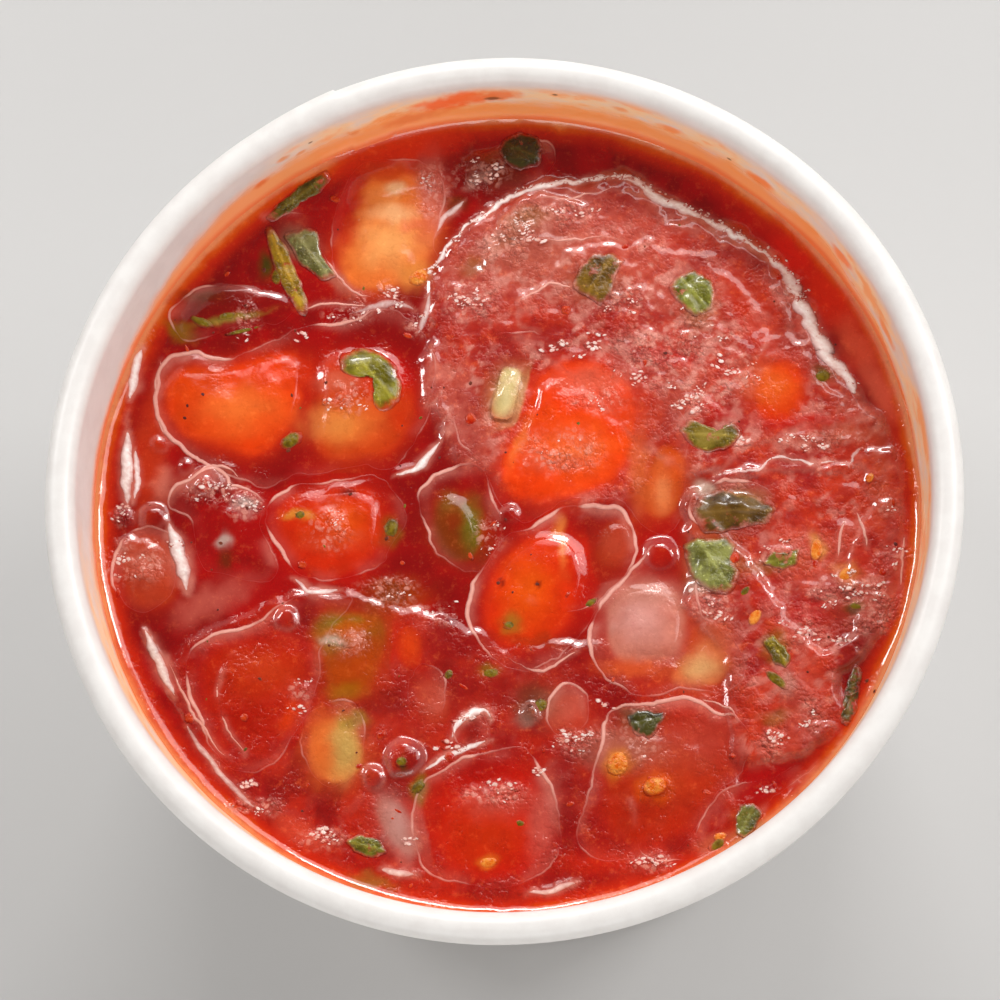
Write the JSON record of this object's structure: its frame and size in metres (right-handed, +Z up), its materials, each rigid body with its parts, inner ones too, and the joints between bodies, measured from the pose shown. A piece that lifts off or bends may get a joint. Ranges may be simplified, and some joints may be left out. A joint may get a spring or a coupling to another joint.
{
  "type": "paper cup of salsa",
  "caption": "Squat white paper cup with a rolled rim, filled with chunky tomato salsa: diced tomato, onion, pepper and torn herb leaves in a wet red sauce.",
  "frame": {"origin": "middle of the cup's foot, on the surface that it stands on", "axes": "+Z up along the cup's axis, +X to the right and +Y away from the viewer as the cup is shown"},
  "size_m": [0.076, 0.076, 0.0482],
  "materials": {
    "paper": "satin",
    "sauce": "gloss",
    "tomato": "gloss",
    "tomato_flesh": "gloss",
    "pepper": "gloss",
    "onion": "gloss",
    "herb": "gloss"
  },
  "bodies": {
    "root": {"cup_wall": "paper", "cup_base": "paper", "sauce": "sauce", "tomato_left": "tomato", "tomato_mid_left": "tomato", "tomato_centre": "tomato", "tomato_bead": "tomato", "tomato_mid": "tomato", "tomato_speckled": "tomato", "tomato_veiled": "tomato", "tomato_edge": "tomato", "tomato_low_left": "tomato", "tomato_near": "tomato", "tomato_right": "tomato", "tomato_bump": "tomato", "tomato_scrap": "tomato", "tomato_lobe": "tomato", "tomato_far": "tomato_flesh", "tomato_side_slice": "tomato_flesh", "tomato_pale": "tomato_flesh", "tomato_rough": "tomato_flesh", "pepper_mid": "pepper", "onion_dice": "onion", "onion_corner": "onion", "onion_strip": "onion", "onion_stick": "onion", "leaf_far": "herb", "leaf_wall": "herb", "leaf_far_left": "herb", "leaf_curl": "herb", "leaf_far_right": "herb", "leaf_bright": "herb", "leaf_centre_right": "herb", "leaf_folded": "herb", "leaf_beside_onion": "herb", "leaf_small_right": "herb", "leaf_right_edge": "herb", "leaf_near_right": "herb", "leaf_near_left": "herb", "leaf_on_tomato": "herb", "stem_far_left": "herb", "stem_right": "herb"}
  },
  "joints": []
}
